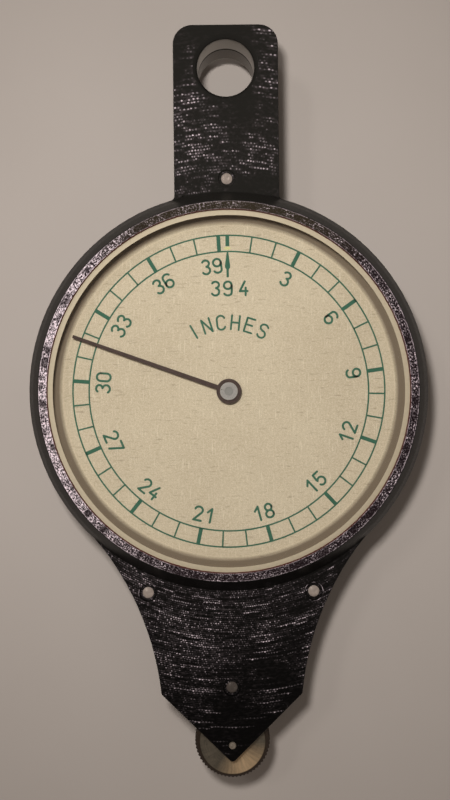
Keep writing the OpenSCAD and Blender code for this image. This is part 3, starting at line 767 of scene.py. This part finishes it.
class Print:
    """Collects flat ink shapes, in millimetres on the dial, and makes one thin solid mesh of them."""

    def __init__(self):
        self.bm = bmesh.new()
        self.layer = 0

    def height(self):
        """The next shape's thickness: neighbours differ a little, so that no two tops lie in one plane."""
        self.layer = (self.layer + 1) % INK_LAYERS
        return INK_T + self.layer * INK_STEP

    def plate(self, points):
        """A closed outline, raised by the ink's thickness."""
        top = self.height()
        low = [self.bm.verts.new((x, y, 0.0)) for x, y in points]
        high = [self.bm.verts.new((x, y, top)) for x, y in points]
        self.bm.faces.new(high)
        self.bm.faces.new(low[::-1])
        for i in range(len(points)):
            k = (i + 1) % len(points)
            self.bm.faces.new((low[i], low[k], high[k], high[i]))

    def ring(self, radius, width, steps=240):
        inner, outer, top = radius - width / 2, radius + width / 2, self.height()
        lathe(self.bm, [(inner, 0), (outer, 0), (outer, top), (inner, top)], steps)

    def tick(self, degrees, inner, outer, width):
        """A radial bar; the angle runs clockwise from the top."""
        a = math.radians(90 - degrees)
        along = (math.cos(a), math.sin(a))
        side = (-along[1] * width / 2, along[0] * width / 2)
        self.plate([(along[0] * r + side[0] * s, along[1] * r + side[1] * s)
                    for r, s in ((inner, -1), (outer, -1), (outer, 1), (inner, 1))])

    def stroke(self, points, width):
        """A line of even width with round ends, as one plate."""
        half = width / 2
        left, right = [], []
        count = len(points)
        for i, (x, y) in enumerate(points):
            before = points[max(i - 1, 0)]
            after = points[min(i + 1, count - 1)]
            dx, dy = after[0] - before[0], after[1] - before[1]
            size = math.hypot(dx, dy)
            nx, ny = -dy / size, dx / size
            grow = 1.0
            if 0 < i < count - 1:
                ax, ay = x - before[0], y - before[1]
                bx, by = after[0] - x, after[1] - y
                dot = (ax * bx + ay * by) / (math.hypot(ax, ay) * math.hypot(bx, by))
                grow = 1 / math.sqrt(max((1 + dot) / 2, MITRE_LIMIT ** -2))
            left.append((x + nx * half * grow, y + ny * half * grow))
            right.append((x - nx * half * grow, y - ny * half * grow))
        end = self.cap(points[-1], points[-2], half)
        start = self.cap(points[0], points[1], half)
        self.strip(left, right, start, end)

    def cap(self, tip, inner, half):
        """Points of the half circle round a stroke's end, from its left side to its right."""
        a = math.atan2(tip[1] - inner[1], tip[0] - inner[0])
        turn = [a + math.pi / 2 - math.pi * i / CAP_SIDES for i in range(1, CAP_SIDES)]
        return [(tip[0] + half * math.cos(t), tip[1] + half * math.sin(t)) for t in turn]

    def strip(self, left, right, start, end):
        """A ribbon of quads with a fan at each end, given thickness."""
        top = self.height()

        def pair(x, y):
            return self.bm.verts.new((x, y, 0.0)), self.bm.verts.new((x, y, top))

        lefts = [pair(*p) for p in left]
        rights = [pair(*p) for p in right]
        for i in range(len(left) - 1):
            a, b, c, d = rights[i], rights[i + 1], lefts[i + 1], lefts[i]
            self.bm.faces.new((a[1], b[1], c[1], d[1]))
            self.bm.faces.new((d[0], c[0], b[0], a[0]))
            self.bm.faces.new((a[0], b[0], b[1], a[1]))
            self.bm.faces.new((c[0], d[0], d[1], c[1]))
        for fan, first, last in ((end, lefts[-1], rights[-1]), (start, rights[0], lefts[0])):
            edge = [first] + [pair(*p) for p in fan] + [last]
            self.bm.faces.new([p[1] for p in reversed(edge)])
            self.bm.faces.new([p[0] for p in edge])
            for a, b in zip(edge, edge[1:]):
                self.bm.faces.new((a[0], a[1], b[1], b[0]))

    def text(self, words, x, y, turn, height, stroke):
        """Characters in a row centred on a point and turned by an angle in degrees."""
        a = math.radians(turn)
        for i, character in enumerate(words):
            start = (i - (len(words) - 1) / 2) * NUMERAL_PITCH - GLYPH_W * height / 2
            for line in GLYPHS[character]:
                points = [(start + u * height, (v - 0.5) * height) for u, v in line]
                self.stroke([(x + u * math.cos(a) - v * math.sin(a), y + u * math.sin(a) + v * math.cos(a))
                             for u, v in points], stroke)

    def make(self, name, material, rear):
        """Lays the print on its dial."""
        obj = mesh_object(name, self.bm, material, INK_SHARP)
        to_dial_axis(obj, rear, DIAL_TOP, MM)
        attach(obj, "case")


def polar(radius, degrees):
    a = math.radians(90 - degrees)
    return radius * math.cos(a), radius * math.sin(a)


def numeral(ink, number, degrees):
    """A number on the numeral circle; in the dial's lower half it stands the other way up."""
    x, y = polar(NUMERAL_R, degrees)
    turn = 180 - degrees if 90 < degrees < 270 else -degrees
    ink.text(str(number), x, y, turn, NUMERAL_H, NUMERAL_STROKE)


def arc_word(ink, word, step):
    """Letters set one by one along the arc of the dial's word, tops outward, some degrees apart."""
    for i, letter in enumerate(word):
        degrees = (i - (len(word) - 1) / 2) * step
        x, y = polar(WORD_R, degrees)
        ink.text(letter, x, y, -degrees, WORD_H, WORD_STROKE)


def arrow(ink):
    """The long arrowhead and its stem under the zero line: one side of the outline and its mirror image."""
    side = [(0.145, 14.22), (0.145, 15.19), (0.33, 15.45), (0.33, 15.7), (0.10, 17.35)]
    ink.plate(side + [(-x, y) for x, y in reversed(side)])


def scale(ink, full_turn, step, last):
    """The band, a line for each unit and a broad one at each step, with numbers up to the last one given."""
    ink.ring(BAND_OUT, LINE_W)
    ink.ring(BAND_IN, LINE_W)
    for unit in range(1, math.ceil(full_turn)):
        ink.tick(unit * 360 / full_turn, BAND_IN, BAND_OUT, TICK_W if unit % step else MARK_W)
    ink.tick(0, ZERO_MARK_IN, BAND_OUT, MARK_W)
    arrow(ink)
    for unit in range(step, last + 1, step):
        numeral(ink, unit, unit * 360 / full_turn)


def yellow_dot(name, rear):
    spot = Print()
    spot.plate(arc(0, DOT_Y, DOT_HALF_W, DOT_HALF_H, 0, 340, 17))
    spot.make(name, YELLOW, rear)


def print_inches():
    """Front dial: 39.37 inches to the turn."""
    ink = Print()
    scale(ink, 39.37, 3, 36)
    numeral(ink, 39, LAST_NUMERAL)
    for character, x in LOWER_ROW:
        ink.text(character, x, LOWER_ROW_Y, 0, NUMERAL_H, NUMERAL_STROKE)
    arc_word(ink, "INCHES", 12)
    ink.make("front_print", GREEN, False)
    yellow_dot("front_zero_dot", False)


def print_centimetres():
    """Rear dial: 100 centimetres to the turn."""
    ink = Print()
    scale(ink, 100, 10, 90)
    ink.text("100", 0, LOWER_ROW_Y, 0, NUMERAL_H, NUMERAL_STROKE)
    arc_word(ink, "CM", 14)
    ink.make("rear_print", GREEN, True)
    yellow_dot("rear_zero_dot", True)


print_inches()
print_centimetres()

# The crystal's cup, in metres
CRYSTAL_WALL = 0.5 * MM
CRYSTAL_FOOT = 0.1 * MM
CRYSTAL_THICK = 1.0 * MM
CRYSTAL_LIFT = 0.02 * MM
CRYSTAL_SPARE = 0.09 * MM
CRYSTAL_FLAT_R = 20.15 * MM
CRYSTAL_DROP = 0.08 * MM
CRYSTAL_BEVEL_IN = 0.70 * MM
CRYSTAL_BEVEL_UP = 0.25 * MM
# A crystal face whose normal rises less than this is part of its bevel or its walls
CRYSTAL_STEEP = 0.95
# A steep face whose normal falls more than this is its inner wall
CRYSTAL_UNDER = -0.1
# Edges over this angle stay sharp, so that the slope and the bevel keep their own reflections
CRYSTAL_SHARP = 10
CRYSTAL_STEPS = 256


def crystal(name, node, rear):
    """The clear cup: flat in the middle, falling to its rim, with a frosted edge in a painted reflection of the
    dial's cream, and streaked brown on its inner wall down to its foot.
    """
    low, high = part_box(node)
    outer = (high.x - low.x) / 2 + CRYSTAL_SPARE
    inner = outer - CRYSTAL_WALL
    under = CRYSTAL_TOP - CRYSTAL_THICK
    foot = DIAL_TOP + CRYSTAL_LIFT
    rim = CRYSTAL_TOP - CRYSTAL_DROP
    inside = [(0, under), (inner, under), (outer - CRYSTAL_FOOT, foot)]
    outside = [(outer, foot), (outer, rim - CRYSTAL_BEVEL_UP), (outer - CRYSTAL_BEVEL_IN, rim)]
    top = [(CRYSTAL_FLAT_R, CRYSTAL_TOP), (0, CRYSTAL_TOP)]
    bm = bmesh.new()
    lathe(bm, inside + outside + top, CRYSTAL_STEPS)
    obj = mesh_object(name, bm, CLEAR, CRYSTAL_SHARP)
    obj.data.materials.append(FROSTED_DIAL_REFLECTION)
    obj.data.materials.append(BROWN_WALL)
    for face in obj.data.polygons:
        if abs(face.normal.z) < CRYSTAL_STEEP:
            face.material_index = 1 if face.normal.z > CRYSTAL_UNDER else 2
    weigh = obj.modifiers.new("shading", "WEIGHTED_NORMAL")
    weigh.keep_sharp = True
    weigh.weight = 100
    to_dial_axis(obj, rear)
    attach(obj, "case")
    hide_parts(node)


crystal("front_crystal_clear", "front_crystal", False)
crystal("rear_crystal_clear", "rear_crystal", True)

# The domed rivets, in metres
HEAD_SAG = 0.24 * MM
HEAD_SEAT = 0.36 * MM
SHANK_R = 0.50 * MM
DIMPLE_R = 0.40 * MM
DIMPLE_DEPTH = 0.16 * MM
# The arbor's rounded ends
PIVOT_R = 0.44 * MM
PIVOT_SAG = 0.26 * MM
PIVOT_SUNK = 0.02 * MM
# Rings in a dome, sides of a small turned piece, and the angle over which its edges stay sharp
DOME_RINGS = 8
PIN_SIDES = 48
PIN_SHARP = 40


def box_middle(node):
    low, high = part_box(node)
    return (low + high) / 2


def domed_rivets(name, node, places, material, dimple=0.0):
    """Rivets with a domed head at each end, one for each place; the dimple is its depth in the middle."""
    low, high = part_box(node)
    head = (high.y - low.y) / 2
    top = high.z - MID_Z
    half = []
    for i in range(DOME_RINGS + 1):
        share = i / DOME_RINGS
        hollow = dimple * max(0.0, 1 - (head * share / DIMPLE_R) ** 2)
        half.append((head * share, top - HEAD_SAG * share ** 2 - hollow))
    half += [(head, top - HEAD_SEAT), (SHANK_R, top - HEAD_SEAT)]
    profile = half + [(r, -z) for r, z in reversed(half)]
    bm = bmesh.new()
    for place in places:
        lathe(bm, profile, PIN_SIDES, place)
    rivets = mesh_object(name, bm, material, PIN_SHARP)
    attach(rivets, "case")
    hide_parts(node)


domed_rivets("side_rivets_domed", "side_rivets", SIDE_RIVETS, RIVET)
domed_rivets("top_rivet_domed", "top_rivet", [box_middle("top_rivet")], RIVET, DIMPLE_DEPTH)
domed_rivets("second_stud_domed", "second_stud", [box_middle("second_stud")], SHADED_RIVET)


def pivot_ends():
    """The rounded ends of the tracing arbor, seen in its two bearing holes."""
    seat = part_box("tracing_arbor")[1].z - MID_Z - PIVOT_SUNK
    foot = seat - PIVOT_SUNK
    turns = [math.pi / 2 * i / DOME_RINGS for i in range(DOME_RINGS + 1)]
    dome = [(PIVOT_R * math.sin(a), seat + PIVOT_SAG * math.cos(a)) for a in turns]
    dome += [(PIVOT_R, foot), (0, foot)]
    bm = bmesh.new()
    for side in (1, -1):
        lathe(bm, [(r, side * z) for r, z in dome], PIN_SIDES, (AXLE.x, AXLE.y, MID_Z))
    ends = mesh_object("tracing_pivot_ends", bm, PIVOT, PIN_SHARP)
    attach(ends, "tracing")


pivot_ends()

# The table in metres, the backdrop's tone, and where on the table that tone begins and is reached
FLOOR_HALF = 3.0
FLOOR_NEAR = 0.07
FLOOR_FAR = 0.19
BACKDROP = (0.45, 0.40, 0.36, 1)
# Each lamp's name, place and width in metres, power in watts, and whether surfaces mirror it
LAMPS = (
    ("near", (-0.012, 0.024, 0.112), 0.012, 0.108, False),
    ("key", (-0.19, 0.17, 0.36), 0.055, 0.13, True),
    ("fill", (0.30, -0.22, 0.34), 0.24, 0.07, True),
)


def pale_floor():
    """Plain pale table; away from the instrument, the rays that see it find the backdrop's tone."""
    n = Surface("floor_pale")
    cloud = n.noise(n.place, 60.0, 3.0)
    n.set(base_color=n.mix(cloud, (0.440, 0.382, 0.338), (0.465, 0.405, 0.360)), roughness=0.9)
    far = n.add("ShaderNodeEmission")
    far.inputs["Color"].default_value = BACKDROP
    rays = n.rays()
    seen = n.most(n.most(rays["Is Camera Ray"], rays["Is Glossy Ray"]), rays["Is Transmission Ray"])
    reach = n.vector("LENGTH", n.place)
    n.give_way(n.times(seen, n.spread(reach, FLOOR_NEAR, FLOOR_FAR)), far)
    bm = bmesh.new()
    bmesh.ops.create_grid(bm, x_segments=1, y_segments=1, size=FLOOR_HALF)
    floor = mesh_object("floor", bm, n.material)


def pale_room():
    """A room that is pale round the sides and dimmer overhead; matt surfaces get less of its light."""
    world = bpy.data.worlds.new("world")
    bpy.context.scene.world = world
    world.use_nodes = True
    n = Nodes(world.node_tree)
    back = n.tree.nodes["Background"]
    back.inputs["Color"].default_value = BACKDROP
    up = n.split(n.add("ShaderNodeTexCoord").outputs["Generated"])[2]
    fade = n.spread(up, 0.30, 0.95, 1.0, 0.28)
    dim = n.spread(n.rays()["Is Diffuse Ray"], 0.0, 1.0, 1.0, 0.6)
    n.put(back.inputs["Strength"], n.times(fade, dim))


def soft_lamps():
    """A small lamp near the instrument and two wider ones farther off, all turned to the dial's centre."""
    for name, place, width, power, mirrored in LAMPS:
        data = bpy.data.lights.new(name, "AREA")
        data.size = width
        data.energy = power
        lamp = link(bpy.data.objects.new(name, data))
        lamp.location = place
        lamp.visible_glossy = mirrored
        lamp.visible_transmission = False
        lamp.rotation_euler = (CENTRE - lamp.location).to_track_quat("-Z", "Y").to_euler()


pale_floor()
pale_room()
soft_lamps()
bpy.context.scene.view_settings.view_transform = "Standard"
